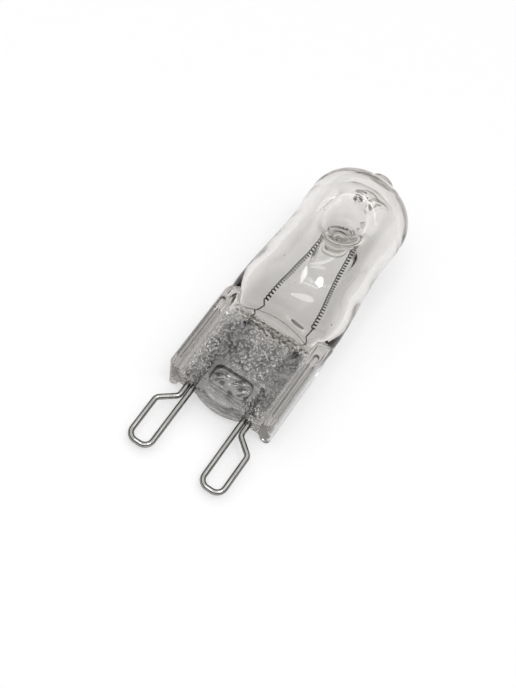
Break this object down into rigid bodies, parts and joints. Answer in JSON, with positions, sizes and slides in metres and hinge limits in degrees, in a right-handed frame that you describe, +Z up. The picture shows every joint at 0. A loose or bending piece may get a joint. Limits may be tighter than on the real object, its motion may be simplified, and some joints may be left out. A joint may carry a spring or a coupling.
{
  "type": "halogen capsule bulb",
  "caption": "Clear quartz capsule bulb with a flat pinched base, wire-loop pins, sealing foils and a coiled filament hung over a glass post.",
  "frame": {"origin": "middle of the bulb's outline on the surface it lies on, at that surface's height", "axes": "+X along the bulb from its pins to its sealed tip (the tip end lies a little higher), +Y from the right pin loop to the left one, +Z up from the surface it lies on"},
  "size_m": [0.0424, 0.0132, 0.0132],
  "materials": {
    "clear_quartz": "clear, pebbled on the pinched base",
    "tungsten": "dark drawn wire",
    "molybdenum": "dull etched foil",
    "nickel_wire": "bright drawn wire"
  },
  "bodies": {
    "root": {"glass_envelope": "clear_quartz", "filament": "tungsten", "left_foil": "molybdenum", "right_foil": "molybdenum", "left_pin_loop": "nickel_wire", "right_pin_loop": "nickel_wire"}
  },
  "joints": []
}
